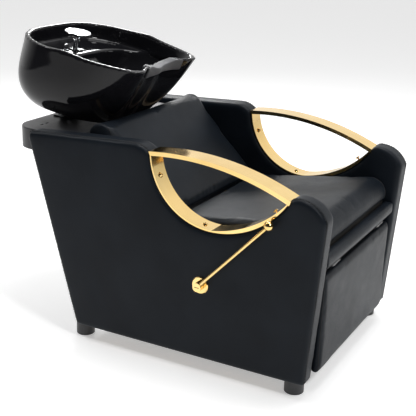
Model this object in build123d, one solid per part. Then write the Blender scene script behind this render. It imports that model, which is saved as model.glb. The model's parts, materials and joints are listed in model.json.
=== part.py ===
from build123d import *
from math import cos, hypot, radians, sin
import os

# Shampoo backwash unit: tub chair, armrest loops, lever-driven leg rest and tilting ceramic basin.
# Millimetres, +Z up. The origin is on the floor, on the centre line, midway between the front and rear feet.
# The sitter faces -Y, and the basin is at the +Y end. The lever is on the -X side panel.

# ---- overall -------------------------------------------------------------------------------------------
HALF_WIDTH = 340.0          # outer face of each side panel
PANEL = 65.0                # side panel thickness
BOARD = 20.0                # plywood board inside each side panel
INNER = HALF_WIDTH - PANEL  # inner face of each side panel
PANEL_BOTTOM = 42.0
FOOT_D = 54.0
FOOT_X = 292.0
FOOT_Y = 338.0

# ---- side panel outline, in the YZ plane ---------------------------------------------------------------
REAR_BOTTOM_Y = 342.0
REAR_TOP = (502.0, 603.0)
TOP_REAR_END = (150.0, 620.0)
BAR_REAR = (94.0, 596.0)
SCOOP_LOW = (-95.0, 417.0)
SCOOP_FRONT = (-305.0, 530.0)
HUMP_TOP = (-334.0, 549.0)
HUMP_FRONT = (-409.0, 498.0)
FRONT_BOTTOM_Y = -380.0

# ---- armrest -------------------------------------------------------------------------------------------
BAR_W = 60.0
BAR_T = 11.0
STRIP_T = 4.0

# ---- seat, backrest and front --------------------------------------------------------------------------
SEAT_HALF = 273.5
SEAT_FRONT = -383.0
SEAT_REAR = (62.0, 400.0)
SEAT_CREST = (-338.0, 459.0)
SEAT_LOW_FRONT = 397.0
SEAT_LOW_REAR = (70.0, 338.0)
SEAT_BOARD_T = 15.0
BACK_ANGLE = 46.6           # slope of the backrest face above the horizontal
BACK_FOOT = (64.5, 400.0)
BACK_LENGTH = 349.0
BACK_T = 72.0
BACK_BOARD_T = 14.0
BACK_ROUND = 33.0
BAND_Z = (350.0, 391.0)
BAND_FRONT = -400.0

# ---- leg rest and its drive ----------------------------------------------------------------------------
LEG_PIVOT = (-384.0, 343.0)
LEG_HALF = 268.0
LEG_FRONT = -392.0
LEG_BOTTOM = 44.0
LEG_TOP = 336.0
LEG_PAD_T = 24.0
LEG_BOARD_T = 14.0
LUG_REACH = (44.0, -75.0)   # lug pin, measured from the leg rest pivot
SHAFT = (-71.0, 264.0)
SHAFT_D = 16.0
CRANK_R = 90.0
CRANK_BACK = 30.0           # rest angle of the crank, behind straight down
CRANK_X = 205.0
LEVER_ANGLE = 47.0
LEVER_LENGTH = 286.0
LEVER_X = -357.0

# ---- rear housing --------------------------------------------------------------------------------------
HOUSE_HALF = 270.0
HOUSE_FRONT = 378.0
HOUSE_REAR = 608.0
HOUSE_Z = (528.0, 590.0)
HOUSE_WALL = 4.0
HOUSE_CORNER = 72.0
WASTE_HOLE = (446.0, 48.0)   # Y of the centre, radius
HOSE_Y = 575.0

# ---- basin, in its own frame: origin at the front of the rim, +Y to the rear, rim plane at Z = 0 -------
BASIN_ORIGIN = (0.0, 228.0, 770.0)
BASIN_TILT = 10.3
BASIN_PIVOT = (548.0, 606.0)
HORN_X = 150.0
BASIN_HALF = 226.0
BASIN_LENGTH = 446.0
BASIN_DEPTH = 196.0
DECK_DEPTH = 50.0
WELL_DEPTH = 168.0
DRAIN_Y = 180.0
DRAIN_R = 23.0
TAP_Y = 339.0
SPRAY_AT = (-58.0, 331.0)
EAR_X = 96.0

os.makedirs("parts", exist_ok=True)


# ---- helpers -------------------------------------------------------------------------------------------
def save(name, *shapes):
    """Write one node: a single solid, or a group of separate solids."""
    shape = shapes[0] if len(shapes) == 1 else Compound(children=list(shapes))
    export_step(shape, f"parts/{name}.step")


def box(x0, x1, y0, y1, z0, z1):
    """A box from its corner values."""
    size = Box(x1 - x0, y1 - y0, z1 - z0)
    return Pos((x0 + x1) / 2, (y0 + y1) / 2, (z0 + z1) / 2) * size


def rod_x(y, z, x0, x1, radius):
    """A cylinder along X."""
    return Pos((x0 + x1) / 2, y, z) * Rot(0, 90, 0) * Cylinder(radius, abs(x1 - x0))


def rod_z(x, y, z0, z1, radius):
    """A cylinder along Z."""
    return Pos(x, y, (z0 + z1) / 2) * Cylinder(radius, z1 - z0)


def yz(point):
    """A YZ point as a vector on the X = 0 plane."""
    return Vector(0, point[0], point[1])


def prism(edges, x0, x1):
    """Extrude a closed outline of YZ edges from x0 to x1."""
    face = Face(Wire(edges))
    solid = extrude(face, amount=x1 - x0, dir=(1, 0, 0))
    return Pos(x0, 0, 0) * solid


def outline(points):
    """Straight edges through YZ points, closed."""
    ends = points[1:] + points[:1]
    return [Line(yz(a), yz(b)) for a, b in zip(points, ends)]


def slab(start, direction_deg, length, thickness, x0, x1):
    """A flat slab: its face starts at a YZ point and runs up at an angle, and it is thick to the rear."""
    a = radians(direction_deg)
    along = (cos(a) * length, sin(a) * length)
    back = (sin(a) * thickness, -cos(a) * thickness)
    corners = [
        start,
        (start[0] + along[0], start[1] + along[1]),
        (start[0] + along[0] + back[0], start[1] + along[1] + back[1]),
        (start[0] + back[0], start[1] + back[1]),
    ]
    return prism(outline(corners), x0, x1)


def link(a, b, width, x0, x1):
    """A flat bar with round ends between two YZ points."""
    run = hypot(b[0] - a[0], b[1] - a[1])
    side = ((b[1] - a[1]) / run * width / 2, -(b[0] - a[0]) / run * width / 2)
    corners = [
        (a[0] + side[0], a[1] + side[1]),
        (b[0] + side[0], b[1] + side[1]),
        (b[0] - side[0], b[1] - side[1]),
        (a[0] - side[0], a[1] - side[1]),
    ]
    return prism(outline(corners), x0, x1) + rod_x(*a, x0, x1, width / 2) + rod_x(*b, x0, x1, width / 2)


def both(solid):
    """A solid and its mirror image across the centre plane."""
    return solid, mirror(solid, about=Plane.YZ)


def in_basin(shape):
    """Place a shape made in the basin's own frame."""
    return Pos(*BASIN_ORIGIN) * Rot(BASIN_TILT, 0, 0) * shape


# ---- side panels ---------------------------------------------------------------------------------------
def scoop_edges():
    """The armrest scoop, from the rear end of the bar down and up to its front end."""
    radius = BAR_REAR[0] - SCOOP_LOW[0]
    middle = (SCOOP_LOW[0] + radius * sin(radians(45)), SCOOP_LOW[1] + radius * (1 - cos(radians(45))))
    rear = ThreePointArc(yz(BAR_REAR), yz(middle), yz(SCOOP_LOW))
    front = TangentArc(yz(SCOOP_LOW), yz(SCOOP_FRONT), tangent=(0, -1, 0))
    return [rear, front]


def panel_edges():
    """The closed outline of a side panel."""
    front_low = (FRONT_BOTTOM_Y, PANEL_BOTTOM)
    rear_low = (REAR_BOTTOM_Y, PANEL_BOTTOM)
    corner_low = (REAR_TOP[0] - 5, REAR_TOP[1] - 20)
    corner = (REAR_TOP[0] - 7, REAR_TOP[1] - 5)
    corner_high = (REAR_TOP[0] - 22, REAR_TOP[1] + 1)
    return [
        Line(yz(rear_low), yz(corner_low)),
        ThreePointArc(yz(corner_low), yz(corner), yz(corner_high)),
        Line(yz(corner_high), yz(TOP_REAR_END)),
        ThreePointArc(yz(TOP_REAR_END), yz((118, 614)), yz(BAR_REAR)),
        *scoop_edges(),
        Line(yz(SCOOP_FRONT), yz((SCOOP_FRONT[0] - 4, SCOOP_FRONT[1] + 10))),
        ThreePointArc(yz((SCOOP_FRONT[0] - 4, SCOOP_FRONT[1] + 10)), yz((-318, 547)), yz(HUMP_TOP)),
        ThreePointArc(yz(HUMP_TOP), yz((-384, 531)), yz(HUMP_FRONT)),
        Line(yz(HUMP_FRONT), yz(front_low)),
        Line(yz(front_low), yz(rear_low)),
    ]


def board_outline():
    """The plywood board: a simpler outline, well inside the upholstery."""
    return outline([
        (REAR_BOTTOM_Y - 26, PANEL_BOTTOM),
        (REAR_TOP[0] - 44, REAR_TOP[1] - 34),
        (TOP_REAR_END[0] - 22, TOP_REAR_END[1] - 36),
        (72, 480),
        (20, 420),
        (-60, 388),
        (-140, 386),
        (-215, 412),
        (-285, 472),
        (-335, 515),
        (HUMP_FRONT[0] + 26, HUMP_FRONT[1] - 22),
        (FRONT_BOTTOM_Y + 24, PANEL_BOTTOM),
    ])


def side_panels(armrest):
    """Upholstered panel and its board, on both sides, cut out for the armrest pieces and the lever shaft."""
    mid = (INNER + HALF_WIDTH) / 2
    board = prism(board_outline(), mid - BOARD / 2, mid + BOARD / 2)
    pad = prism(panel_edges(), INNER, HALF_WIDTH) - board
    for piece in armrest:
        board = board - piece
        pad = pad - piece
    board_near = mirror(board, about=Plane.YZ)
    pad_near = mirror(pad, about=Plane.YZ)
    passage = rod_x(*SHAFT, -HALF_WIDTH - 1, -INNER + 1, SHAFT_D / 2 + 5)
    save("side_board_left", board)
    save("side_pad_left", pad)
    save("side_board_right", board_near - passage)
    save("side_pad_right", pad_near - passage)


# ---- armrests ------------------------------------------------------------------------------------------
def bar_edges():
    """The arched armrest bar, seen from the side: two concentric arcs."""
    rear_top, front_top, crown = (98.0, 604.0), (-312.0, 538.5), (-104.0, 600.5)
    drop = BAR_T
    return [
        ThreePointArc(yz(rear_top), yz(crown), yz(front_top)),
        Line(yz(front_top), yz((front_top[0] + 4, front_top[1] - drop))),
        ThreePointArc(
            yz((front_top[0] + 4, front_top[1] - drop)),
            yz((crown[0] + 2, crown[1] - drop)),
            yz((rear_top[0] - 5, rear_top[1] - drop)),
        ),
        Line(yz((rear_top[0] - 5, rear_top[1] - drop)), yz(rear_top)),
    ]


def strip_edges():
    """The thin strip that lines the scoop: the scoop's curve and the same curve, one thickness in."""
    rear_in = (BAR_REAR[0] - STRIP_T, BAR_REAR[1] - 4)
    low_in = (SCOOP_LOW[0], SCOOP_LOW[1] + STRIP_T)
    front_in = (SCOOP_FRONT[0] + STRIP_T, SCOOP_FRONT[1] - 1)
    radius = rear_in[0] - low_in[0]
    middle = (low_in[0] + radius * sin(radians(45)), low_in[1] + radius * (1 - cos(radians(45))))
    return [
        *scoop_edges(),
        Line(yz(SCOOP_FRONT), yz(front_in)),
        ThreePointArc(yz(front_in), yz((-214, 459)), yz(low_in)),
        ThreePointArc(yz(low_in), yz(middle), yz(rear_in)),
        Line(yz(rear_in), yz(BAR_REAR)),
    ]


def screw(at, toward, length):
    """A domed cap screw: its head stands on a YZ point and its shank runs the other way."""
    run = hypot(*toward)
    unit = Vector(0, toward[0] / run, toward[1] / run)
    plane = Plane(origin=yz(at), z_dir=unit)
    shank = Cylinder(2.5, length, align=(Align.CENTER, Align.CENTER, Align.MAX))
    head = Cone(7.5, 4.5, 4.5, align=(Align.CENTER, Align.CENTER, Align.MIN))
    socket = Pos(0, 0, 2) * Cylinder(2.2, 4, align=(Align.CENTER, Align.CENTER, Align.MIN))
    return plane * (head + shank - socket)


def armrests():
    """Bars, scoop strips and their screws, on both sides."""
    x0, x1 = HALF_WIDTH - BAR_W - 2.5, HALF_WIDTH - 2.5
    bar = prism(bar_edges(), x0, x1)
    strip = prism(strip_edges(), x0 + 1, x1 - 1) - bar
    spots = [((76.0, 537.0), (-0.94, 0.34)), ((-62.0, 423.5), (-0.17, 0.98)), ((-262.0, 497.5), (0.66, 0.75))]
    screws = [Pos((x0 + x1) / 2, 0, 0) * screw(at, toward, 16) for at, toward in spots]
    holes = [Pos((x0 + x1) / 2, 0, 0) * screw(at, toward, 16.2) for at, toward in spots]
    for hole in holes:
        strip = strip - hole
    for side, shapes in (("left", (bar, strip)), ("right", tuple(both(s)[1] for s in (bar, strip)))):
        save(f"armrest_bar_{side}", shapes[0])
        save(f"armrest_strip_{side}", shapes[1])
    save("armrest_screws", *screws, *(both(s)[1] for s in screws))
    return [bar, *holes]


# ---- seat, backrest and front band ---------------------------------------------------------------------
def seat_slope():
    """Fall of the seat's underside, from front to rear."""
    return (SEAT_LOW_FRONT - SEAT_LOW_REAR[1]) / (SEAT_LOW_REAR[0] - SEAT_FRONT)


def seat():
    """Waterfall seat cushion on a plywood board."""
    lip = (SEAT_FRONT + 1, SEAT_CREST[1] - 42)
    edges = [
        Line(yz((SEAT_FRONT, SEAT_LOW_FRONT)), yz(lip)),
        ThreePointArc(yz(lip), yz((SEAT_FRONT + 16, SEAT_CREST[1] - 11)), yz(SEAT_CREST)),
        Line(yz(SEAT_CREST), yz(SEAT_REAR)),
        Line(yz(SEAT_REAR), yz((92, 372))),
        Line(yz((92, 372)), yz(SEAT_LOW_REAR)),
        Line(yz(SEAT_LOW_REAR), yz((SEAT_FRONT, SEAT_LOW_FRONT))),
    ]
    save("seat_cushion", prism(edges, -SEAT_HALF, SEAT_HALF))
    front, rear = SEAT_FRONT + 21, SEAT_LOW_REAR[0] - 4
    z_front = SEAT_LOW_FRONT - 21 * seat_slope()
    z_rear = SEAT_LOW_REAR[1] + 4 * seat_slope()
    board = outline([(front, z_front), (rear, z_rear), (rear, z_rear - SEAT_BOARD_T), (front, z_front - SEAT_BOARD_T)])
    save("seat_board", prism(board, -SEAT_HALF, SEAT_HALF))


def backrest():
    """Reclined backrest cushion with a thinner board behind it."""
    cushion = slab(BACK_FOOT, BACK_ANGLE, BACK_LENGTH, BACK_T, -SEAT_HALF, SEAT_HALF)
    cushion = fillet(cushion.edges().filter_by(Axis.X).sort_by(Axis.Z)[-2:], BACK_ROUND)
    save("backrest_cushion", cushion)
    a = radians(BACK_ANGLE)
    foot = (
        BACK_FOOT[0] + sin(a) * BACK_T + cos(a) * 10,
        BACK_FOOT[1] - cos(a) * BACK_T + sin(a) * 10,
    )
    save("backrest_board", slab(foot, BACK_ANGLE, BACK_LENGTH - 34, BACK_BOARD_T, -SEAT_HALF, SEAT_HALF))


def front_band():
    """Padded band under the seat's front edge, on a timber rail."""
    low, high = BAND_Z
    rail_front = BAND_FRONT + 34
    band = box(-SEAT_HALF, SEAT_HALF, BAND_FRONT, rail_front, low, high)
    save("front_band", fillet(band.edges().filter_by(Axis.X).sort_by(Axis.Y)[:2], 9))
    save("front_band_rail", box(-INNER, INNER, rail_front, rail_front + 16, low + 2, 376))


# ---- base frame and feet -------------------------------------------------------------------------------
def tube(y, z, width, height):
    """A rectangular steel tube across the unit, between the side panels."""
    wall = 2.0
    outer = box(-INNER, INNER, y - width / 2, y + width / 2, z - height / 2, z + height / 2)
    inner = box(-INNER - 1, INNER + 1, y - width / 2 + wall, y + width / 2 - wall,
                z - height / 2 + wall, z + height / 2 - wall)
    return outer - inner


def frame():
    """Cross tubes and feet."""
    spots = {
        "floor_rail_front": (-310.0, 75.0),
        "floor_rail_rear": (280.0, 75.0),
        "seat_rail_front": (-300.0, 352.0),
        "seat_rail_rear": (30.0, 308.0),
        "back_rail": (321.0, 500.0),
    }
    for name, (y, z) in spots.items():
        save(name, tube(y, z, 30, 30))
    feet = []
    for x in (-FOOT_X, FOOT_X):
        for y in (-FOOT_Y, FOOT_Y):
            foot = Pos(x, y, 0) * Cylinder(FOOT_D / 2, PANEL_BOTTOM, align=(Align.CENTER, Align.CENTER, Align.MIN))
            feet.append(chamfer(foot.edges().sort_by(Axis.Z)[0], 2))
    save("feet", *feet)


# ---- rear housing --------------------------------------------------------------------------------------
def housing_blank(grow, low, high):
    """The housing's plan shape: square at the front, with large round rear corners."""
    width = 2 * (HOUSE_HALF + grow)
    depth = HOUSE_REAR - HOUSE_FRONT + 2 * grow
    plan = box(-width / 2, width / 2, HOUSE_FRONT - grow, HOUSE_FRONT - grow + depth, low, high)
    return fillet(plan.edges().filter_by(Axis.Z).sort_by(Axis.Y)[-2:], HOUSE_CORNER + grow)


def housing():
    """Hollow plastic housing under the basin, open below, with its steel frame and side brackets."""
    low, high = HOUSE_Z
    shell = housing_blank(0, low, high) - housing_blank(-HOUSE_WALL, low - 1, high - HOUSE_WALL)
    shell = fillet(shell.faces().sort_by(Axis.Z)[-1].outer_wire().edges(), 3.5)
    for x in (-212, -188):
        shell = shell - box(x - 7, x + 7, 540, 546, low, high + 1)
    drop = rod_z(0, WASTE_HOLE[0], low, high + 1, WASTE_HOLE[1])
    hoses = rod_z(0, HOSE_Y + 2, low, high + 1, 22)
    save("rear_housing", shell - drop - hoses)
    inside = HOUSE_HALF - HOUSE_WALL
    top = high - HOUSE_WALL
    beam = box(-inside + 8, inside - 8, 514, 558, top - 26, top)
    beam = beam - box(-inside - 1, inside + 1, 517, 555, top - 23, top - 3)
    brackets = []
    for side in (-1, 1):
        x0, x1 = sorted((side * inside, side * (inside - 24)))
        beam = beam + box(x0, x1, HOUSE_FRONT + 6, 514, top - 24, top - 2)
        x0, x1 = sorted((side * HOUSE_HALF, side * INNER))
        brackets.append(box(x0, x1, 396, 474, low + 4, high - 6))
    save("housing_frame", beam)
    save("housing_brackets", *brackets)


def back_cover():
    """Removable rear closing board between the side panels, with its screws."""
    lean = (REAR_TOP[0] - REAR_BOTTOM_Y) / (REAR_TOP[1] - PANEL_BOTTOM)
    low, high = PANEL_BOTTOM + 4, 430.0
    y_low = REAR_BOTTOM_Y + (low - PANEL_BOTTOM) * lean - 22
    y_high = REAR_BOTTOM_Y + (high - PANEL_BOTTOM) * lean - 22
    board = prism(outline([(y_low, low), (y_high, high), (y_high - 12, high), (y_low - 12, low)]), -INNER, INNER)
    angle = 90 - Vector(0, y_high - y_low, high - low).get_angle(Vector(0, 1, 0))
    screws = []
    for x in (-250, 250):
        for share in (0.08, 0.92):
            y, z = y_low + share * (y_high - y_low), low + share * (high - low)
            body = Pos(x, y, z) * Rot(-90 - angle, 0, 0) * (
                Cylinder(7, 3, align=(Align.CENTER, Align.CENTER, Align.MIN))
                + Cylinder(2.5, 11, align=(Align.CENTER, Align.CENTER, Align.MAX)))
            screws.append(body)
    for item in screws:
        board = board - item
    save("back_cover", board)
    save("back_cover_screws", *screws)


# ---- leg rest and lever --------------------------------------------------------------------------------
def leg_rest():
    """Swinging leg rest: pad, board, hinge leaves and the lugs that the drive rods push."""
    board_front = LEG_FRONT + LEG_PAD_T
    board_back = board_front + LEG_BOARD_T
    pad = box(-LEG_HALF, LEG_HALF, LEG_FRONT, board_front, LEG_BOTTOM, LEG_TOP)
    save("leg_rest_pad", fillet(pad.edges().filter_by(Axis.X).sort_by(Axis.Y)[:2], 8))
    save("leg_rest_board", box(-LEG_HALF + 6, LEG_HALF - 6, board_front, board_back, LEG_BOTTOM + 6, LEG_TOP))
    y, z = LEG_PIVOT
    pins, leaves, fixed = [], [], []
    for x in (-180, 180):
        pins.append(rod_x(y, z, x - 30, x + 30, 2.5))
        knuckle = rod_x(y, z, x - 9, x + 9, 5) - rod_x(y, z, x - 10, x + 10, 2.55)
        strap = box(x - 9, x + 9, y - 2, board_back + 3, LEG_TOP, LEG_TOP + 3)
        tail = box(x - 9, x + 9, board_back, board_back + 3, LEG_TOP - 40, LEG_TOP)
        leaves.append(knuckle + strap - rod_x(y, z, x - 10, x + 10, 2.55) + tail)
        for side in (-1, 1):
            x0, x1 = sorted((x + side * 10, x + side * 28))
            ring = rod_x(y, z, x0, x1, 5) - rod_x(y, z, x0 - 1, x1 + 1, 2.5)
            hanger = box(x0, x1, y + 4, BAND_FRONT + 50, z + 2.5, z + 5.5)
            plate = box(x0, x1, BAND_FRONT + 50, BAND_FRONT + 53, z + 2.5, z + 30)
            fixed.append(ring + hanger - rod_x(y, z, x0 - 1, x1 + 1, 2.5) + plate)
    save("leg_rest_hinge_leaves", *leaves)
    save("leg_rest_hinge_brackets", *fixed, *pins)
    pin_y, pin_z = y + LUG_REACH[0], z + LUG_REACH[1]
    lugs = []
    for side in (-1, 1):
        x0, x1 = sorted((side * CRANK_X, side * (CRANK_X - 6)))
        ear = link((board_back + 6, pin_z), (pin_y, pin_z), 20, x0, x1) - box(
            x0 - 1, x1 + 1, LEG_FRONT, board_back, pin_z - 20, pin_z + 20)
        far = side * (CRANK_X + 12)
        lugs.append(ear + rod_x(pin_y, pin_z, min(side * CRANK_X, far), max(side * CRANK_X, far), 4))
    save("leg_rest_lugs", *lugs)


def crank_end():
    """The crank pin's YZ place at rest."""
    a = radians(CRANK_BACK)
    return SHAFT[0] + CRANK_R * sin(a), SHAFT[1] - CRANK_R * cos(a)


def lever():
    """Side lever, cross shaft, two cranks and the drive rods."""
    shaft = rod_x(*SHAFT, -352, 232, SHAFT_D / 2)
    save("lever_shaft", shaft)
    a = radians(LEVER_ANGLE)
    tip = (SHAFT[0] - LEVER_LENGTH * cos(a), SHAFT[1] + LEVER_LENGTH * sin(a))
    hub = rod_x(*SHAFT, -363, -347, 12.5) - shaft
    slot = box(-364, -361, SHAFT[0] - 7, SHAFT[0] + 7, SHAFT[1] - 1.2, SHAFT[1] + 1.2)
    mid = ((SHAFT[0] + tip[0]) / 2, (SHAFT[1] + tip[1]) / 2)
    rod = Pos(LEVER_X, *mid) * Rot(90 - LEVER_ANGLE, 0, 0) * Cylinder(4.5, LEVER_LENGTH)
    rod = rod + hub - shaft - slot
    knob = Pos(LEVER_X, *tip) * Sphere(13)
    save("lever_rod", rod - knob)
    save("lever_knob", knob)
    end = crank_end()
    cranks, rods = [], []
    pin = (LEG_PIVOT[0] + LUG_REACH[0], LEG_PIVOT[1] + LUG_REACH[1])
    for side in (-1, 1):
        x0, x1 = sorted((side * CRANK_X, side * (CRANK_X - 8)))
        arm = link(SHAFT, end, 26, x0, x1) - shaft
        near, far = sorted((side * CRANK_X, side * (CRANK_X + 9)))
        cranks.append(arm + rod_x(*end, near, far, 4))
        near, far = sorted((side * (CRANK_X + 1.5), side * (CRANK_X + 7.5)))
        bar = link(end, pin, 20, near, far)
        bar = bar - rod_x(*end, near - 1, far + 1, 4.05) - rod_x(*pin, near - 1, far + 1, 6)
        rods.append(bar)
    save("cranks", *cranks)
    save("drive_rods", *rods)
    rosette = rod_x(*SHAFT, -346, -HALF_WIDTH, 24)
    rosette = chamfer(rosette.edges().sort_by(Axis.X)[0], 2)
    save("lever_rosette", rosette - rod_x(*SHAFT, -350, -330, SHAFT_D / 2 + 0.5))
    bush = rod_x(*SHAFT, -HALF_WIDTH, -INNER, SHAFT_D / 2 + 5) - rod_x(*SHAFT, -345, -270, SHAFT_D / 2 + 0.05)
    bearing = box(218, 230, SHAFT[0] - 20, SHAFT[0] + 20, SHAFT[1] - 20, SHAFT[1] + 20)
    bearing = bearing + box(230, INNER, SHAFT[0] - 20, SHAFT[0] + 20, SHAFT[1] - 20, SHAFT[1] - 15)
    save("shaft_bearings", bush, bearing - rod_x(*SHAFT, 210, 236, SHAFT_D / 2 + 0.05))


# ---- basin ---------------------------------------------------------------------------------------------
def loop_at(z, front_y, front_x, half, rear_y, square=0.74, neck=0.0):
    """One level loop of the bowl: notched or straight front, full sides and a rounded, squarish rear."""
    length = rear_y - front_y
    points = [
        (0, front_y + neck),
        (front_x * 0.62, front_y + neck * 0.62),
        (front_x, front_y + 3),
        (half * 0.93, front_y + length * 0.23),
        (half, front_y + length * 0.48),
        (half * 0.965, front_y + length * 0.74),
        (half * square, rear_y - length * 0.085),
        (half * square * 0.48, rear_y - 3),
        (0, rear_y),
    ]
    ring = points + [(-x, y) for x, y in reversed(points[1:-1])]
    return Face(Wire([Spline(*[Vector(x, y, z) for x, y in ring], periodic=True)]))


def bowl_outer(grow=0.0):
    """The bowl's outer body, lofted: rim, bulge, knee and foot."""
    return loft([
        loop_at(0, -grow, HORN_X + grow, BASIN_HALF + grow, BASIN_LENGTH + grow, neck=34),
        loop_at(-74, 34 - grow, 142 + grow, BASIN_HALF + 5 + grow, BASIN_LENGTH + 4 + grow, neck=18),
        loop_at(-152, 80 - grow, 128 + grow, BASIN_HALF - 7 + grow, BASIN_LENGTH - 4 + grow, neck=8),
        loop_at(-BASIN_DEPTH, 112 - grow, 104 + grow, BASIN_HALF - 44 + grow, BASIN_LENGTH - 38 + grow),
    ])


def bowl():
    """Ceramic bowl: outer body, tap deck recess, deep well, drain hole and the open space under the deck."""
    rear = BASIN_LENGTH
    recess = loft([
        loop_at(2, 15, HORN_X - 12, BASIN_HALF - 14, rear - 14, neck=34),
        loop_at(-DECK_DEPTH, 34, HORN_X - 22, BASIN_HALF - 20, rear - 17, neck=24),
    ])
    well = loft([
        loop_at(-DECK_DEPTH + 1, 34, HORN_X - 22, BASIN_HALF - 22, 299, neck=24),
        loop_at(-112, 76, 106, 172, 291, neck=10),
        loop_at(-WELL_DEPTH, 122, 62, 92, 268),
    ])
    under = loft([
        loop_at(-DECK_DEPTH - 14, 311, 110, 160, rear - 20),
        loop_at(-BASIN_DEPTH - 1, 304, 80, 130, rear - 60),
    ])
    neck = Pos(0, 30, 190 - 20) * Rot(90, 0, 0) * Cylinder(190, 110)
    drain = rod_z(0, DRAIN_Y, -BASIN_DEPTH - 1, -WELL_DEPTH + 5, DRAIN_R)
    tap_hole = rod_z(0, TAP_Y, -DECK_DEPTH - 20, 0, 15)
    spray_hole = rod_z(*SPRAY_AT, -DECK_DEPTH - 20, 0, 12)
    return bowl_outer() - recess - well - under - neck - drain - tap_hole - spray_hole


def neck_rest(bowl_solid):
    """Rubber neck rest: wraps over the notched front edge, 7 mm thick."""
    zone = box(-98, 98, -12, 62, -62, 2)
    over = bowl_outer(grow=7)
    saddle = Pos(0, 30, 190 - 13) * Rot(90, 0, 0) * Cylinder(190, 160)
    hollow = loft([
        loop_at(3, 24, HORN_X - 20, BASIN_HALF - 22, BASIN_LENGTH - 20, neck=34),
        loop_at(-DECK_DEPTH, 41, HORN_X - 30, BASIN_HALF - 30, BASIN_LENGTH - 24, neck=24),
    ])
    floor = box(-200, 200, 20, 80, -80, -34)
    return (over & zone) - saddle - bowl_solid - hollow - floor


def drain_fittings():
    """Drain flange, lift-out strainer, tailpiece cup and the waste hose, in the basin's frame."""
    seat_z = -WELL_DEPTH
    flange = rod_z(0, DRAIN_Y, seat_z, seat_z + 3, 33) + rod_z(0, DRAIN_Y, seat_z - 52, seat_z, DRAIN_R)
    flange = flange - rod_z(0, DRAIN_Y, seat_z - 53, seat_z + 4, DRAIN_R - 2.5)
    flange = flange - rod_z(0, DRAIN_Y, seat_z + 0.5, seat_z + 4, 27)
    strainer = rod_z(0, DRAIN_Y, seat_z + 0.5, seat_z + 2.5, 26.9)
    strainer = strainer + rod_z(0, DRAIN_Y, seat_z - 8, seat_z + 0.5, 19)
    strainer = strainer - rod_z(0, DRAIN_Y, seat_z - 9, seat_z - 1.5, 17)
    for turn in range(8):
        hole = Rot(0, 0, 45 * turn) * Pos(11.5, 0, 0) * rod_z(0, 0, seat_z - 9, seat_z + 4, 2.6)
        strainer = strainer - Pos(0, DRAIN_Y, 0) * hole
    strainer = strainer + rod_z(0, DRAIN_Y, seat_z + 2.5, seat_z + 9, 5)
    nut = rod_z(0, DRAIN_Y, -BASIN_DEPTH - 9, -BASIN_DEPTH, 34) - rod_z(0, DRAIN_Y, -BASIN_DEPTH - 10, 0, DRAIN_R)
    cup = rod_z(0, DRAIN_Y, seat_z - 84, seat_z - 52, DRAIN_R) - rod_z(0, DRAIN_Y, seat_z - 79, seat_z - 50, DRAIN_R - 3)
    cup = cup + rod_z(0, DRAIN_Y, seat_z - 100, seat_z - 84, 15) - rod_z(0, DRAIN_Y, seat_z - 101, seat_z - 70, 12)
    save("drain_flange", in_basin(flange))
    save("drain_strainer", in_basin(strainer))
    save("drain_nut", in_basin(nut))
    save("waste_cup", in_basin(cup))


def waste_hose():
    """Waste hose from the cup down into the base: straight runs and large bends."""
    a = radians(BASIN_TILT)
    z = -WELL_DEPTH - 100
    down = (sin(a), -cos(a))
    top = (BASIN_ORIGIN[1] + DRAIN_Y * cos(a) - z * sin(a), BASIN_ORIGIN[2] + DRAIN_Y * sin(a) + z * cos(a))
    knee = (top[0] + down[0] * 30, top[1] + down[1] * 30)
    low = (knee[0] - 92, knee[1] - 100)
    path = FilletPolyline(yz(top), yz(knee), yz(low), yz((low[0] - 36, low[1] - 100)), radius=40)
    section = Plane(origin=yz(top), z_dir=(0, down[0], down[1])) * (Circle(15) - Circle(12))
    save("waste_hose", sweep(section, path=path))


def tap():
    """Chrome mixer on the deck: base ring, body, turning stem, flat disc handle, and the nut below."""
    z = -DECK_DEPTH
    base = rod_z(0, TAP_Y, z, z + 5, 19) - rod_z(0, TAP_Y, z - 1, z + 6, 9)
    body = rod_z(0, TAP_Y, z - 34, z, 9) + rod_z(0, TAP_Y, z, z + 30, 9)
    body = body - rod_z(0, TAP_Y, z + 6, z + 31, 5.5)
    stem = rod_z(0, TAP_Y, z + 6, z + 30.4, 5.45) + rod_z(0, TAP_Y, z + 30.4, z + 43, 8)
    fork = box(-2.6, 2.6, TAP_Y - 9, TAP_Y + 9, z + 35, z + 44)
    cross = rod_x(TAP_Y, z + 39.5, -9, 9, 1.6)
    stem = stem - fork - cross
    disc = Pos(0, TAP_Y, z + 53) * Cylinder(40, 7)
    disc = chamfer(disc.edges().filter_by(GeomType.CIRCLE), 1.6)
    tongue = rod_x(TAP_Y, z + 39.5, -2.3, 2.3, 3.2) + box(-2.3, 2.3, TAP_Y - 3.2, TAP_Y + 3.2, z + 39.5, z + 50)
    handle = disc + tongue - rod_x(TAP_Y, z + 39.5, -9, 9, 1.65)
    pin = rod_x(TAP_Y, z + 39.5, -7.9, 7.9, 1.6)
    nut = rod_z(0, TAP_Y, z - 26, z - 14, 18) - rod_z(0, TAP_Y, z - 27, z - 13, 9)
    save("tap_base_ring", in_basin(base))
    save("tap_body", in_basin(body))
    save("tap_stem", in_basin(stem), in_basin(pin))
    save("tap_handle", in_basin(handle))
    save("tap_lock_nut", in_basin(nut))


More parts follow.
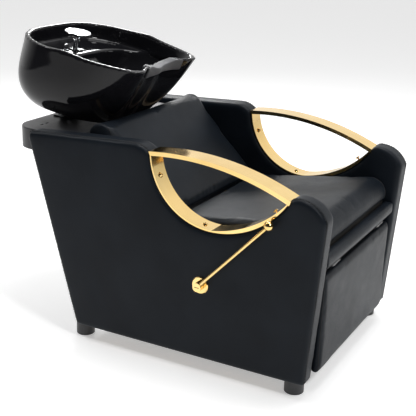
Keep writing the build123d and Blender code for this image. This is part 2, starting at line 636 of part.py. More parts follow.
def hand_spray():
    """Pull-out hand spray: deck socket, the spray's grip and its head with a rose face and thumb button."""
    x, y = SPRAY_AT
    z = -DECK_DEPTH
    socket = rod_z(x, y, z, z + 5, 13.5) + rod_z(x, y, z - 46, z, 11.5)
    socket = socket - rod_z(x, y, z - 47, z + 6, 8.6)
    grip = rod_z(x, y, z - 60, z + 11, 8.5)
    head = Pos(x, y, z + 18) * Sphere(11) & box(x - 20, x + 20, y - 20, y + 20, z + 9, z + 40)
    rose = Pos(x, y, z + 18) * Rot(50, 0, 0) * Pos(0, 0, 10) * Cylinder(7.5, 4)
    body = grip + head - rose
    save("spray_socket", in_basin(socket))
    save("spray_body", in_basin(body))
    save("spray_rose", in_basin(rose))


def supply_hoses():
    """Hot and cold supply hoses, hanging from the mixer's tail into the housing."""
    save("supply_hoses", *(rod_z(x, HOSE_Y, 548, 744, 5) for x in (-7, 7)))


def basin_mount():
    """Fixed yoke on the housing, tilting cradle under the bowl, and the tilt pin with its friction washers."""
    y, z = BASIN_PIVOT
    top = HOUSE_Z[1]
    yoke = box(-EAR_X - 5, EAR_X + 5, y - 36, y + 36, top, top + 4)
    for side in (-1, 1):
        x0, x1 = sorted((side * EAR_X, side * (EAR_X + 5)))
        yoke = yoke + box(x0, x1, y - 13, y + 13, top, z) + rod_x(y, z, x0, x1, 13)
    yoke = yoke - box(-30, 30, y + 8, y + 60, top - 1, top + 5)
    yoke = yoke - rod_x(y, z, -EAR_X - 10, EAR_X + 10, 5)
    save("basin_yoke", yoke)
    bolts = []
    for x in (-70, 70):
        for off in (-24, 24):
            bolts.append(rod_z(x, y + off, top + 4, top + 10, 7))
    save("yoke_bolts", *bolts)
    pad_z = -BASIN_DEPTH
    plate = box(-EAR_X + 2, EAR_X - 2, 150, 330, pad_z - 4, pad_z)
    plate = plate - rod_z(0, DRAIN_Y, pad_z - 5, pad_z + 1, 36)
    plate = plate - box(-20, 20, 300, 331, pad_z - 5, pad_z + 1)
    cradle = in_basin(plate)
    for side in (-1, 1):
        x0, x1 = sorted((side * (EAR_X - 1), side * (EAR_X - 6)))
        ear = rod_x(y, z, x0, x1, 11) + prism(
            outline([(y - 60, z + 4), (y - 2, z - 11), (y + 6, z + 30), (y - 50, z + 26)]), x0, x1)
        cradle = cradle + (ear - in_basin(box(-200, 200, 0, 500, pad_z, 0)))
    cradle = cradle - rod_x(y, z, -EAR_X, EAR_X, 5.05)
    save("basin_cradle", cradle)
    pin = rod_x(y, z, -EAR_X - 14, EAR_X + 14, 5)
    heads = rod_x(y, z, -EAR_X - 22, -EAR_X - 14, 9), rod_x(y, z, EAR_X + 14, EAR_X + 22, 9)
    washers = []
    for side in (-1, 1):
        x0, x1 = sorted((side * (EAR_X + 5), side * (EAR_X + 14)))
        washers.append(rod_x(y, z, x0, x1, 12) - rod_x(y, z, x0 - 1, x1 + 1, 5))
    save("tilt_pin", pin + heads[0] + heads[1], *washers)


def main():
    side_panels(armrests())
    seat()
    backrest()
    front_band()
    frame()
    housing()
    back_cover()
    leg_rest()
    lever()
    bowl_solid = bowl()
    save("basin_bowl", in_basin(bowl_solid))
    save("neck_rest", in_basin(neck_rest(bowl_solid)))
    drain_fittings()
    waste_hose()
    tap()
    hand_spray()
    supply_hoses()
    basin_mount()


main()
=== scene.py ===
import bpy
import bmesh
import json
from math import cos, exp, radians, sin
from mathutils import Matrix, Vector, noise, kdtree


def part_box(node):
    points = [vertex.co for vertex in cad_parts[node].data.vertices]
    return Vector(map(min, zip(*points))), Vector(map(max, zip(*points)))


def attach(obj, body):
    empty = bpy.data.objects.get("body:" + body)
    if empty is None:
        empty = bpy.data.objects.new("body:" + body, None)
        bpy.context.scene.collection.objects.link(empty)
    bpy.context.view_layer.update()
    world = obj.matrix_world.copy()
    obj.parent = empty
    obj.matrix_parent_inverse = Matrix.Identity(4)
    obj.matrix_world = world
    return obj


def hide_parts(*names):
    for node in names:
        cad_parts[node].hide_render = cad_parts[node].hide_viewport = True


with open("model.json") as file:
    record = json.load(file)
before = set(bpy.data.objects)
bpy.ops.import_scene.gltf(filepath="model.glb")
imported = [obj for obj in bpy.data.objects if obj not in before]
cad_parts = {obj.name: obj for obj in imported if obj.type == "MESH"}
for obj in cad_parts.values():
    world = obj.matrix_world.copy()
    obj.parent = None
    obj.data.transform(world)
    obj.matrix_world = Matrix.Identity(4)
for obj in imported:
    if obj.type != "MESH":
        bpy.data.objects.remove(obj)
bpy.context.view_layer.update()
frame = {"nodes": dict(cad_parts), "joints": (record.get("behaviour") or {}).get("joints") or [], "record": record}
NODES = frame["nodes"]
SIDE_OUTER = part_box("side_pad_left")[1].x
SIDE_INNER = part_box("side_pad_left")[0].x

EDGE_ROUND = 0.011       # rounding of the upholstered panel edges
PANEL_VOXEL = 0.0065
STITCH_PITCH = 0.0062
BAND_SEAM_RISE = 0.010   # height of the front band's seam above the band's lower edge
SEAM_INSET = 0.012       # the outer cover wraps this far over the panel's edge


# ---- camera and stage -----------------------------------------------------------------------------------
def camera():
    azimuth, elevation, roll = radians(-62.6), radians(20.1), radians(2.0)
    back = Vector((sin(azimuth) * cos(elevation), -cos(azimuth) * cos(elevation), sin(elevation)))
    right = Vector((cos(azimuth), sin(azimuth), 0))
    up = back.cross(right)
    right_r = right * cos(roll) + up * sin(roll)
    up_r = up * cos(roll) - right * sin(roll)
    data = bpy.data.cameras.new("camera")
    data.lens = 79.3
    data.sensor_width = 36.0
    data.shift_x = -0.002
    data.shift_y = 0.067
    data.clip_end = 30
    cam = bpy.data.objects.new("camera", data)
    turn = Matrix((right_r, up_r, back)).transposed()
    cam.matrix_world = Matrix.Translation((-2.328, -1.121, 1.2265)) @ turn.to_4x4()
    bpy.context.scene.collection.objects.link(cam)
    bpy.context.scene.camera = cam


def area_light(name, place, target, size, power, tint=(1, 1, 1), size_y=None):
    data = bpy.data.lights.new(name, "AREA")
    data.energy = power
    data.color = tint
    data.shape = "RECTANGLE"
    data.size = size
    data.size_y = size_y or size
    lamp = bpy.data.objects.new(name, data)
    direction = Vector(target) - Vector(place)
    lamp.rotation_euler = direction.to_track_quat("-Z", "Y").to_euler()
    lamp.location = place
    bpy.context.scene.collection.objects.link(lamp)
    return lamp


def floor_plane():
    mesh = bpy.data.meshes.new("floor")
    mesh.from_pydata([(-14, -14, 0), (14, -14, 0), (14, 14, 0), (-14, 14, 0)], [], [(0, 1, 2, 3)])
    floor = bpy.data.objects.new("floor", mesh)
    mat = bpy.data.materials.new("floor")
    mat.use_nodes = True
    shader = mat.node_tree.nodes["Principled BSDF"]
    shader.inputs["Base Color"].default_value = (0.9, 0.9, 0.9, 1)
    shader.inputs["Roughness"].default_value = 0.9
    shader.inputs["Specular IOR Level"].default_value = 0.1
    shader.inputs["Emission Color"].default_value = (1, 1, 1, 1)
    shader.inputs["Emission Strength"].default_value = 0.4
    mesh.materials.append(mat)
    bpy.context.scene.collection.objects.link(floor)
    return floor


def studio_world():
    """Bright behind the object, dim on the lever side, with a soft ceiling."""
    world = bpy.data.worlds.new("studio")
    world.use_nodes = True
    tree = world.node_tree
    direction = add(tree, "ShaderNodeTexCoord").outputs["Generated"]
    dot = add(tree, "ShaderNodeVectorMath", operation="DOT_PRODUCT")
    dot.inputs[1].default_value = (0.80, 0.50, 0.22)
    tree.links.new(direction, dot.inputs[0])
    level = ramp(tree, dot.outputs["Value"], 0.04, 1.0, 0.05, 0.6)
    tree.links.new(level, tree.nodes["Background"].inputs["Strength"])
    tree.nodes["Background"].inputs["Color"].default_value = (1, 1, 1, 1)
    bpy.context.scene.world = world


def stage():
    studio_world()
    middle = (0, 0, 0.45)
    lamps = [
        area_light("key", (-1.3, -2.3, 3.1), middle, 0.55, 46),
        area_light("top", (0.3, -0.2, 3.4), middle, 1.5, 60),
        area_light("rim", (2.6, 2.0, 2.2), middle, 0.5, 26),
        area_light("front", (2.0, -2.9, 1.6), middle, 0.7, 12, size_y=1.4),
        area_light("window", (-0.6, 1.9, 2.9), (0, 0.4, 0.7), 0.35, 12),
    ]
    floor_plane()
    bpy.context.scene.view_settings.view_transform = "Standard"


# ---- material helpers -----------------------------------------------------------------------------------
def new_material(name, color, roughness, metallic=0.0, **inputs):
    mat = bpy.data.materials.new(name)
    mat.use_nodes = True
    shader = mat.node_tree.nodes["Principled BSDF"]
    shader.inputs["Base Color"].default_value = (*color, 1)
    shader.inputs["Roughness"].default_value = roughness
    shader.inputs["Metallic"].default_value = metallic
    for key, value in inputs.items():
        shader.inputs[key.replace("_", " ")].default_value = value
    return mat, mat.node_tree, shader


def add(tree, kind, **values):
    node = tree.nodes.new(kind)
    for key, value in values.items():
        if key in node.inputs:
            node.inputs[key].default_value = value
        else:
            setattr(node, key, value)
    return node


def object_coords(tree):
    return add(tree, "ShaderNodeTexCoord").outputs["Object"]


def ramp(tree, source, low, high, start=0.0, end=1.0):
    node = add(tree, "ShaderNodeMapRange")
    node.inputs["From Min"].default_value = start
    node.inputs["From Max"].default_value = end
    node.inputs["To Min"].default_value = low
    node.inputs["To Max"].default_value = high
    tree.links.new(source, node.inputs["Value"])
    return node.outputs["Result"]


def noise_of(tree, coords, scale, detail=3.0, rough=0.5):
    node = add(tree, "ShaderNodeTexNoise")
    node.inputs["Scale"].default_value = scale
    node.inputs["Detail"].default_value = detail
    node.inputs["Roughness"].default_value = rough
    tree.links.new(coords, node.inputs["Vector"])
    return node.outputs["Fac"]


def cells_of(tree, coords, scale, feature="DISTANCE_TO_EDGE"):
    node = add(tree, "ShaderNodeTexVoronoi")
    node.feature = feature
    node.inputs["Scale"].default_value = scale
    tree.links.new(coords, node.inputs["Vector"])
    return node.outputs["Distance"]


def bump(tree, shader, height, strength, distance, under=None):
    node = add(tree, "ShaderNodeBump")
    node.inputs["Strength"].default_value = strength
    node.inputs["Distance"].default_value = distance
    tree.links.new(height, node.inputs["Height"])
    if under is not None:
        tree.links.new(under, node.inputs["Normal"])
    tree.links.new(node.outputs["Normal"], shader.inputs["Normal"])
    return node.outputs["Normal"]


def shade_by(tree, shader, source, dark, light, start=0.3, end=0.7):
    mix = add(tree, "ShaderNodeMix")
    mix.data_type = "RGBA"
    mix.inputs["A"].default_value = (*dark, 1)
    mix.inputs["B"].default_value = (*light, 1)
    tree.links.new(ramp(tree, source, 0, 1, start, end), mix.inputs["Factor"])
    tree.links.new(mix.outputs["Result"], shader.inputs["Base Color"])


# ---- materials ------------------------------------------------------------------------------------------
def leather():
    mat, tree, shader = new_material("black_leather", (0.008, 0.011, 0.015), 0.42)
    shader.inputs["Specular IOR Level"].default_value = 0.13
    coords = object_coords(tree)
    broad = noise_of(tree, coords, 7, 4)
    shade_by(tree, shader, broad, (0.0045, 0.0066, 0.0098), (0.0080, 0.0112, 0.0160))
    tree.links.new(ramp(tree, noise_of(tree, coords, 22, 5), 0.36, 0.5), shader.inputs["Roughness"])
    grain = cells_of(tree, coords, 620)
    first = bump(tree, shader, ramp(tree, grain, 0, 1, 0.0, 0.35), 0.22, 0.0004)
    bump(tree, shader, noise_of(tree, coords, 38, 4), 0.12, 0.003, first)
    return mat


def gold():
    mat, tree, shader = new_material("polished_gold", (0.90, 0.64, 0.26), 0.09, 1.0)
    coords = object_coords(tree)
    tree.links.new(ramp(tree, noise_of(tree, coords, 35, 5), 0.05, 0.16), shader.inputs["Roughness"])
    shade_by(tree, shader, noise_of(tree, coords, 9), (0.86, 0.59, 0.22), (0.94, 0.69, 0.30))
    bump(tree, shader, noise_of(tree, coords, 60, 2), 0.05, 0.001)
    return mat


def ceramic():
    mat, tree, shader = new_material("black_ceramic", (0.006, 0.006, 0.007), 0.07)
    shader.inputs["Specular IOR Level"].default_value = 0.28
    coords = object_coords(tree)
    tree.links.new(ramp(tree, noise_of(tree, coords, 14, 4), 0.04, 0.12), shader.inputs["Roughness"])
    shade_by(tree, shader, noise_of(tree, coords, 5), (0.005, 0.005, 0.006), (0.009, 0.009, 0.011))
    bump(tree, shader, noise_of(tree, coords, 16, 2), 0.05, 0.004)
    return mat


def chrome():
    mat, tree, shader = new_material("chrome", (0.80, 0.81, 0.83), 0.06, 1.0)
    coords = object_coords(tree)
    tree.links.new(ramp(tree, noise_of(tree, coords, 50, 5), 0.03, 0.13), shader.inputs["Roughness"])
    shade_by(tree, shader, noise_of(tree, coords, 30), (0.76, 0.77, 0.79), (0.84, 0.85, 0.86))
    return mat


def grained(name, color, light, roughness, scale, strength, distance=0.0006, metallic=0.0):
    mat, tree, shader = new_material(name, color, roughness, metallic)
    coords = object_coords(tree)
    shade_by(tree, shader, noise_of(tree, coords, 12, 5), color, light)
    tree.links.new(
        ramp(tree, noise_of(tree, coords, 30, 4), roughness - 0.06, roughness + 0.08),
        shader.inputs["Roughness"])
    bump(tree, shader, noise_of(tree, coords, scale, 3), strength, distance)
    return mat


def plywood():
    mat, tree, shader = new_material("plywood", (0.45, 0.33, 0.2), 0.62)
    coords = object_coords(tree)
    stretch = add(tree, "ShaderNodeMapping")
    stretch.inputs["Scale"].default_value = (18, 2.2, 60)
    tree.links.new(coords, stretch.inputs["Vector"])
    grain = noise_of(tree, stretch.outputs["Vector"], 3.2, 6, 0.62)
    shade_by(tree, shader, grain, (0.30, 0.20, 0.11), (0.56, 0.42, 0.26))
    bump(tree, shader, grain, 0.25, 0.0006)
    return mat


def braided():
    mat, tree, shader = new_material("braided_hose", (0.33, 0.34, 0.35), 0.38, 0.6)
    coords = object_coords(tree)
    wave = add(tree, "ShaderNodeTexWave")
    wave.inputs["Scale"].default_value = 140
    wave.inputs["Distortion"].default_value = 3
    tree.links.new(coords, wave.inputs["Vector"])
    shade_by(tree, shader, wave.outputs["Fac"], (0.16, 0.17, 0.18), (0.5, 0.51, 0.52))
    bump(tree, shader, wave.outputs["Fac"], 0.4, 0.0006)
    return mat


def ribbed_hose():
    mat, tree, shader = new_material("ribbed_hose", (0.03, 0.03, 0.032), 0.45)
    coords = object_coords(tree)
    wave = add(tree, "ShaderNodeTexWave")
    wave.bands_direction = "Z"
    wave.inputs["Scale"].default_value = 60
    tree.links.new(coords, wave.inputs["Vector"])
    # painted shade and painted highlight: the rib hollows are coloured darker and the crests lighter, following
    # the ribs' relief
    shade_by(tree, shader, wave.outputs["Fac"], (0.02, 0.02, 0.021), (0.05, 0.05, 0.052))
    bump(tree, shader, wave.outputs["Fac"], 0.8, 0.003)
    return mat


def make_materials():
    return {
        "upholstery": leather(),
        "polished_gold": gold(),
        "black_ceramic": ceramic(),
        "neck_rubber": grained("neck_rubber", (0.05, 0.05, 0.055), (0.085, 0.085, 0.092), 0.5, 260, 0.25),
        "chrome": chrome(),
        "black_plastic": grained(
            "black_plastic", (0.018, 0.018, 0.02), (0.03, 0.03, 0.033),
            0.38, 420, 0.2, 0.0004),
        "plywood": plywood(),
        "black_steel": grained(
            "black_steel", (0.022, 0.022, 0.024), (0.035, 0.035, 0.038),
            0.42, 500, 0.3, 0.0003),
        "zinc_steel": grained(
            "zinc_steel", (0.46, 0.47, 0.48), (0.60, 0.61, 0.61),
            0.3, 240, 0.12, 0.0003, 1.0),
        "brass": grained("brass", (0.62, 0.45, 0.2), (0.74, 0.56, 0.27), 0.25, 240, 0.1, 0.0003, 1.0),
        "braided_hose": braided(),
        "stained_plywood": grained(
            "stained_plywood", (0.02, 0.019, 0.018), (0.04, 0.038, 0.036),
            0.5, 160, 0.2),
        # seam: near-black colour for the tubes sunk along the seams, painted shade of the seams' grooves
        "seam": new_material("seam", (0.003, 0.003, 0.004), 0.8)[0],
        "thread": new_material("thread", (0.035, 0.038, 0.044), 0.7)[0],
    }


def slot_names():
    return {part["node"]: part["material_slot"] for part in frame["record"]["subparts"]}


def paint_nodes(materials):
    for name, slot in slot_names().items():
        data = NODES[name].data
        data.materials.clear()
        data.materials.append(ribbed_hose() if name == "waste_hose" else materials[slot])


# ---- mesh helpers ---------------------------------------------------------------------------------------
def bevel_node(name, width, segments=3):
    mod = NODES[name].modifiers.new("edges", "BEVEL")
    mod.width = width
    mod.segments = segments
    mod.limit_method = "ANGLE"
    mod.angle_limit = radians(40)
    mod.harden_normals = True
    return mod


def object_from(name, mesh, material=None):
    obj = bpy.data.objects.new(name, mesh)
    bpy.context.scene.collection.objects.link(obj)
    if material is not None:
        mesh.materials.clear()
        mesh.materials.append(material)
    return obj


def bake(obj):
    graph = bpy.context.evaluated_depsgraph_get()
    mesh = bpy.data.meshes.new_from_object(obj.evaluated_get(graph))
    obj.modifiers.clear()
    obj.data = mesh


def smooth(obj):
    obj.data.polygons.foreach_set("use_smooth", [True] * len(obj.data.polygons))
    obj.data.update()


def remesh(obj, voxel):
    mod = obj.modifiers.new("voxels", "REMESH")
    mod.mode = "VOXEL"
    mod.voxel_size = voxel
    bake(obj)


def relax(obj, rounds, factor=0.5):
    mod = obj.modifiers.new("relax", "SMOOTH")
    mod.iterations = rounds
    mod.factor = factor
    bake(obj)


def subdivide(obj, levels=1):
    mod = obj.modifiers.new("finer", "SUBSURF")
    mod.levels = levels
    mod.render_levels = levels
    bake(obj)


# ---- upholstered side panels ----------------------------------------------------------------------------
def outline_of(node, plane_x):
    """The closed YZ outline of the flat face that a panel has at one X."""
    mesh = bmesh.new()
    mesh.from_mesh(NODES[node].data)
    bmesh.ops.remove_doubles(mesh, verts=mesh.verts, dist=1e-6)
    flat = {f for f in mesh.faces if all(abs(v.co.x - plane_x) < 1e-5 for v in f.verts)}
    border = {}
    for edge in mesh.edges:
        if sum(f in flat for f in edge.link_faces) == 1:
            a, b = edge.verts
            border.setdefault(a, []).append(b)
            border.setdefault(b, []).append(a)
    loops, seen = [], set()
    for start in border:
        if start in seen:
            continue
        loop, here, last = [], start, None
        while here not in seen:
            seen.add(here)
            loop.append((here.co.y, here.co.z))
            onward = [v for v in border[here] if v is not last]
            last, here = here, onward[0]
        loops.append(loop)
    mesh.free()
    return max(loops, key=len_of)


def len_of(loop):
    return sum((Vector(a) - Vector(b)).length for a, b in zip(loop, loop[1:] + loop[:1]))


def resample(loop, step):
    """Even steps along a closed loop of 2-D points."""
    points = [Vector(p) for p in loop]
    total = len_of(loop)
    count = max(8, int(total / step))
    out, index, walked = [], 0, 0.0
    length = (points[1] - points[0]).length
    for i in range(count):
        want = total * i / count
        while walked + length < want:
            walked += length
            index = (index + 1) % len(points)
            length = (points[(index + 1) % len(points)] - points[index]).length
        share = (want - walked) / max(length, 1e-9)
        out.append(points[index].lerp(points[(index + 1) % len(points)], share))
    return out


def signed_area(loop):
    return sum(a[0] * b[1] - b[0] * a[1] for a, b in zip(loop, loop[1:] + loop[:1])) / 2


def inward(points, distance):
    """Each point moved into the loop, which runs anticlockwise."""
    out = []
    for i, p in enumerate(points):
        along = points[(i + 1) % len(points)] - points[i - 1]
        normal = Vector((-along.y, along.x)).normalized()
        out.append(p + normal * distance)
    return out


def panel(side, material):
    """Tight leather over a board: rounded edges, a slight crown and the seam near the outer edge."""
    node = "side_pad_" + side
    sign = 1 if side == "left" else -1
    loop = outline_of(node, sign * SIDE_OUTER)
    if signed_area(loop) < 0:
        loop.reverse()
    points = resample(loop, 0.006)
    profile = []
    for k in range(5):
        turn = radians(90 * k / 4)
        profile.append((SIDE_OUTER - 0.0006 - EDGE_ROUND * (1 - sin(turn)), EDGE_ROUND * (1 - cos(turn))))
    for k in range(4, -1, -1):
        turn = radians(90 * k / 4)
        profile.append((SIDE_INNER + 0.0006 + EDGE_ROUND * (1 - sin(turn)), EDGE_ROUND * (1 - cos(turn))))
    profile = profile[:5][::-1] + profile[5:][::-1]
    mesh = bmesh.new()
    rings = []
    for x, inset in profile:
        rings.append([mesh.verts.new((sign * x, p.x, p.y)) for p in inward(points, inset + 0.0004)])
    count = len(points)
    for a, b in zip(rings, rings[1:]):
        for i in range(count):
            mesh.faces.new((a[i], a[(i + 1) % count], b[(i + 1) % count], b[i]))
    mesh.faces.new(rings[0])
    mesh.faces.new(rings[-1])
    bmesh.ops.recalc_face_normals(mesh, faces=mesh.faces)
    data = bpy.data.meshes.new("panel_" + side)
    mesh.to_mesh(data)
    mesh.free()
    obj = object_from("panel_" + side, data, material)
    remesh(obj, PANEL_VOXEL)
    relax(obj, 3)
    crown_panel(obj, points, sign)
    subdivide(obj)
    smooth(obj)
    obj.data.materials.clear()
    obj.data.materials.append(material)
    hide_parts(node)
    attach(obj, "base")
    seams(side, sign, points)
    return obj


def crown_panel(obj, points, sign):
    """Swell the flat faces a little away from the edge, with faint unevenness."""
    tree = kdtree.KDTree(len(points))
    for i, p in enumerate(points):
        tree.insert((0, p.x, p.y), i)
    tree.balance()
    for v in obj.data.vertices:
        depth = tree.find((0, v.co.y, v.co.z))[2]
        if depth < 0.008:
            continue
        share = min(1.0, (depth - 0.008) / 0.07)
        swell = 0.0022 * (share * (2 - share)) + 0.0008 * noise.noise(v.co * 9) * share
        outward = 1 if v.co.x * sign > (SIDE_OUTER + SIDE_INNER) / 2 else -0.12
        v.co.x += sign * outward * swell


def tube_mesh(name, path, radius, sides=6, closed=True):
    """A thin tube along 3-D points."""
    mesh = bmesh.new()
    rings = []
    count = len(path)
    for i, p in enumerate(path):
        ahead = path[(i + 1) % count] if closed or i < count - 1 else p
        behind = path[i - 1] if closed or i > 0 else p
        along = (ahead - behind).normalized()
        side = along.cross(Vector((1, 0, 0)))
        side = side.normalized() if side.length > 1e-6 else Vector((0, 1, 0))
        other = along.cross(side).normalized()
        ring = []
        for k in range(sides):
            turn = radians(360 * k / sides)
            ring.append(mesh.verts.new(p + side * cos(turn) * radius + other * sin(turn) * radius))
        rings.append(ring)
    pairs = list(zip(rings, rings[1:])) + ([(rings[-1], rings[0])] if closed else [])
    for a, b in pairs:
        for k in range(sides):
            mesh.faces.new((a[k], a[(k + 1) % sides], b[(k + 1) % sides], b[k]))
    if not closed:
        mesh.faces.new(rings[0])
        mesh.faces.new(rings[-1])
    bmesh.ops.recalc_face_normals(mesh, faces=mesh.faces)
    data = bpy.data.meshes.new(name)
    mesh.to_mesh(data)
    mesh.free()
    obj = object_from(name, data)
    smooth(obj)
    return obj


def stitches(name, path, normals, lift, pitch=STITCH_PITCH):
    """Small thread capsules along a path, each on the surface."""
    mesh = bmesh.new()
    total, last = 0.0, path[0]
    spots = []
    for p, n in zip(path, normals):
        total += (p - last).length
        if total >= pitch:
            spots.append((last, p, n))
            total = 0.0
        last = p
    for a, b, n in spots:
        along = (b - a).normalized()
        side = along.cross(n).normalized()
        middle = b + n * lift
        corners = []
        for end in (-0.0018, 0.0018):
            for out, up in ((-0.00045, 0), (0, 0.0005), (0.00045, 0), (0, -0.0004)):
                corners.append(mesh.verts.new(middle + along * end + side * out + n * up))
        for k in range(4):
            mesh.faces.new((corners[k], corners[(k + 1) % 4], corners[4 + (k + 1) % 4], corners[4 + k]))
        mesh.faces.new(corners[:4])
        mesh.faces.new(corners[4:])
    bmesh.ops.recalc_face_normals(mesh, faces=mesh.faces)
    data = bpy.data.meshes.new(name)
    mesh.to_mesh(data)
    mesh.free()
    return object_from(name, data)


def seams(side, sign, points):
    """The sewn line where the outer cover meets the edge band, with a row of stitches each side. The dark tube
    along the seam is painted shade of the seam's groove.
    """
    thread, seam_shade = MATERIALS["thread"], MATERIALS["seam"]
    edge = inward(points, 0.0012)
    line = [Vector((sign * (SIDE_OUTER - SEAM_INSET), p.x, p.y)) for p in edge if p.y > 0.046]
    cut = max(range(len(line)), key=lambda i: (line[i] - line[i - 1]).length)
    line = line[cut:] + line[:cut]
    out = []
    for i, p in enumerate(line):
        along = line[min(i + 1, len(line) - 1)] - line[max(i - 1, 0)]
        out.append(Vector((0, along.z, -along.y)).normalized())
    # the dark tube is painted shade in the seam's groove
    body = tube_mesh("panel_seam_" + side, line, 0.0011, closed=False)
    body.data.materials.append(seam_shade)
    pieces = [body]
    for tag, shift in (("outer", 0.0035), ("inner", -0.0045)):
        moved = [p + Vector((sign * shift, 0, 0)) for p in line]
        fine, normals = [], []
        for i in range(len(moved) - 1):
            for k in range(3):
                fine.append(moved[i].lerp(moved[i + 1], k / 3))
                normals.append(out[i])
        piece = stitches(f"panel_stitch_{tag}_{side}", fine, normals, 0.0008)
        piece.data.materials.append(thread)
        pieces.append(piece)
    for piece in pieces:
        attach(piece, "base")


# ---- cushions -------------------------------------------------------------------------------------------
def cushion(node, name, body, material, voxel=0.006, pressure=4.0, cap=0.008, keep=None):
    """A padded piece: the CAD solid remeshed, blown up a little as cloth, capped and made finer."""
    data = NODES[node].data.copy()
    obj = object_from(name, data, material)
    low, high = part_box(node)
    middle = (low + high) / 2
    shrink = 0.0022
    for v in data.vertices:
        for axis in range(3):
            half = (high[axis] - low[axis]) / 2
            v.co[axis] = middle[axis] + (v.co[axis] - middle[axis]) * (half - shrink) / half
    remesh(obj, voxel)
    relax(obj, 4)
    rest = [v.co.copy() for v in obj.data.vertices]
    blow(obj, pressure)
    for v, was in zip(obj.data.vertices, rest):
        move = v.co - was
        if move.length > cap:
            move = move.normalized() * cap
        limit_move(v, was, move, low, high, keep)
    relax(obj, 2)
    subdivide(obj)
    smooth(obj)
    obj.data.materials.clear()
    obj.data.materials.append(material)
    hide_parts(node)
    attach(obj, body)
    return obj


def limit_move(v, was, move, low, high, keep):
    """Move a point, but never past the box that the solid fills on the sides in keep."""
    new = was + move
    for axis, side in keep or ():
        if side < 0:
            new[axis] = max(new[axis], low[axis] + 0.0004)
        else:
            new[axis] = min(new[axis], high[axis] - 0.0004)
    v.co = new


def blow(obj, pressure):
    """Twenty frames of pressurised cloth with no gravity."""
    mod = obj.modifiers.new("cloth", "CLOTH")
    cloth = mod.settings
    cloth.quality = 4
    cloth.mass = 0.4
    cloth.tension_stiffness = 22
    cloth.compression_stiffness = 22
    cloth.bending_stiffness = 2.0
    cloth.use_pressure = True
    cloth.uniform_pressure_force = pressure
    cloth.effector_weights.gravity = 0
    mod.collision_settings.use_collision = False
    scene = bpy.context.scene
    mod.point_cache.frame_start = 1
    mod.point_cache.frame_end = 20
    for number in range(1, 21):
        scene.frame_set(number)
    bake(obj)
    scene.frame_set(1)


def cut_loop(obj, point, normal):
    """The longest closed line that a plane cuts on a mesh, as ordered points."""
    mesh = bmesh.new()
    mesh.from_mesh(obj.data)
    everything = mesh.verts[:] + mesh.edges[:] + mesh.faces[:]
    cut = bmesh.ops.bisect_plane(mesh, geom=everything, plane_co=point, plane_no=normal)["geom_cut"]
    links = {}
    for edge in (e for e in cut if isinstance(e, bmesh.types.BMEdge)):
        a, b = edge.verts
        links.setdefault(a, []).append(b)
        links.setdefault(b, []).append(a)
    loops, seen = [], set()
    for start in links:
        if start in seen:
            continue
        loop, here = [], start
        while here is not None:
            seen.add(here)
            loop.append(here.co.copy())
            here = next((v for v in links[here] if v not in seen), None)
        loops.append(loop)
    mesh.free()
    return max(loops, key=lambda loop: sum((a - b).length for a, b in zip(loop, loop[1:])))


def even_steps(loop, step):
    out, spare = [loop[0]], 0.0
    for a, b in zip(loop, loop[1:] + loop[:1]):
        spare += (b - a).length
        if spare >= step:
            out.append(b)
            spare = 0.0
    return out


def sewn_line(name, obj, point, normal, body, materials, rows=(0.0036,), radius=0.001):
    """A sunk seam round a pad, with stitches beside it. The dark tube along it is painted shade of the groove."""
    normal = Vector(normal)
    path = even_steps(cut_loop(obj, point, normal), 0.004)
    centre = sum(path, Vector()) / len(path)
    out = []
    for i, p in enumerate(path):
        along = path[(i + 1) % len(path)] - path[i - 1]
        away = along.cross(normal).normalized()
        out.append(away if away.dot(p - centre) > 0 else -away)
    # the dark tube is painted shade in the seam's groove
    pieces = [tube_mesh(name, [p - n * 0.0003 for p, n in zip(path, out)], radius)]
    pieces[0].data.materials.append(materials["seam"])
    for number, shift in enumerate(rows):
        moved = [p + normal * shift for p in path]
        fine, normals = [], []
        for i in range(len(moved)):
            for k in range(3):
                fine.append(moved[i].lerp(moved[(i + 1) % len(moved)], k / 3))
                normals.append(out[i])
        row = stitches(f"{name}_row_{number}", fine, normals, 0.0004)
        row.data.materials.append(materials["thread"])
        pieces.append(row)
    for piece in pieces:
        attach(piece, body)


# ---- basin ----------------------------------------------------------------------------------------------
def glazed_bowl(material):
    """The ceramic bowl with soft glazed edges and a low crest half way along each side of the rim."""
    up = Vector(next(j for j in frame["joints"] if j["name"] == "spray_lift")["axis"]).normalized()
    along = up.cross(Vector((1, 0, 0)))
    along = along if along.y > 0 else -along
    obj = object_from("bowl", NODES["basin_bowl"].data.copy(), material)
    remesh(obj, 0.0035)
    relax(obj, 6)
    soften_inside(obj, up)
    heights = [v.co.dot(up) for v in obj.data.vertices]
    runs = [v.co.dot(along) for v in obj.data.vertices]
    rim, front, rear = max(heights), min(runs), max(runs)
    for v, height, run in zip(obj.data.vertices, heights, runs):
        near_rim = max(0.0, 1 - (rim - height) / 0.045)
        if near_rim == 0 or abs(v.co.x) < 0.12:
            continue
        share = (run - front - 0.49 * (rear - front)) / 0.05
        v.co += up * 0.006 * near_rim * near_rim * (3 - 2 * near_rim) * exp(-share * share)
    relax(obj, 2)
    smooth(obj)
    obj.data.materials.clear()
    obj.data.materials.append(material)
    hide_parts("basin_bowl")
    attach(obj, "basin")
    return obj


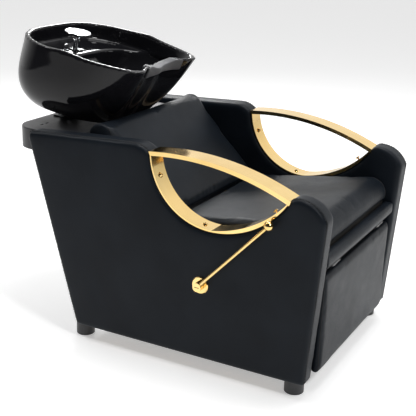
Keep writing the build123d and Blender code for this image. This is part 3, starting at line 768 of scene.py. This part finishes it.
def soften_inside(obj, up):
    """Ease the step between the tap deck and the well."""
    group = obj.vertex_groups.new(name="step")
    top = max(v.co.dot(up) for v in obj.data.vertices)
    low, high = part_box("basin_bowl")
    half = (high.x - low.x) / 2
    for v in obj.data.vertices:
        depth = top - v.co.dot(up)
        inside = v.normal.dot(up) > 0.02 and abs(v.co.x) < half * 0.86
        if inside and 0.03 < depth < 0.11:
            group.add([v.index], 1.0, "REPLACE")
    mod = obj.modifiers.new("ease", "SMOOTH")
    mod.vertex_group = "step"
    mod.factor = 0.6
    mod.iterations = 30
    bake(obj)


def soft_copy(node, name, body, material, voxel, rounds):
    """A moulded piece with every edge eased."""
    obj = object_from(name, NODES[node].data.copy(), material)
    remesh(obj, voxel)
    relax(obj, rounds)
    smooth(obj)
    obj.data.materials.clear()
    obj.data.materials.append(material)
    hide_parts(node)
    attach(obj, body)
    return obj


# ---- build ----------------------------------------------------------------------------------------------
camera()
stage()
MATERIALS = make_materials()
paint_nodes(MATERIALS)
panel("left", MATERIALS["upholstery"])
panel("right", MATERIALS["upholstery"])
SIDES = ((0, -1), (0, 1))
SEAT = cushion("seat_cushion", "seat_pad", "base", MATERIALS["upholstery"], keep=SIDES + ((1, -1), (2, -1)))
BACK = cushion("backrest_cushion", "back_pad", "base", MATERIALS["upholstery"], keep=SIDES)
BAND = cushion("front_band", "band_pad", "base", MATERIALS["upholstery"], voxel=0.004, cap=0.004,
               keep=SIDES + ((1, 1), (2, -1), (2, 1)))
LEG = cushion("leg_rest_pad", "leg_pad", "leg_rest", MATERIALS["upholstery"], voxel=0.005, cap=0.005,
              keep=SIDES + ((1, 1), (2, -1), (2, 1)))
for node, pad, body, inset in (
    ("seat_cushion", SEAT, "base", 0.012),
    ("backrest_cushion", BACK, "base", 0.014),
    ("leg_rest_pad", LEG, "leg_rest", 0.010),
):
    low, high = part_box(node)
    for tag, x, way in (("right", low.x + inset, 1), ("left", high.x - inset, -1)):
        sewn_line(f"{pad.name}_seam_{tag}", pad, (x, 0, 0), (way, 0, 0), body, MATERIALS)
low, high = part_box("front_band")
sewn_line("band_seam", BAND, (0, 0, low.z + BAND_SEAM_RISE), (0, 0, 1), "base", MATERIALS)
glazed_bowl(MATERIALS["black_ceramic"])
soft_copy("neck_rest", "neck_pad", "basin", MATERIALS["neck_rubber"], 0.0022, 5)
for bar in ("armrest_bar_left", "armrest_bar_right"):
    bevel_node(bar, 0.0028, 4)
for strip in ("armrest_strip_left", "armrest_strip_right"):
    bevel_node(strip, 0.0012, 2)
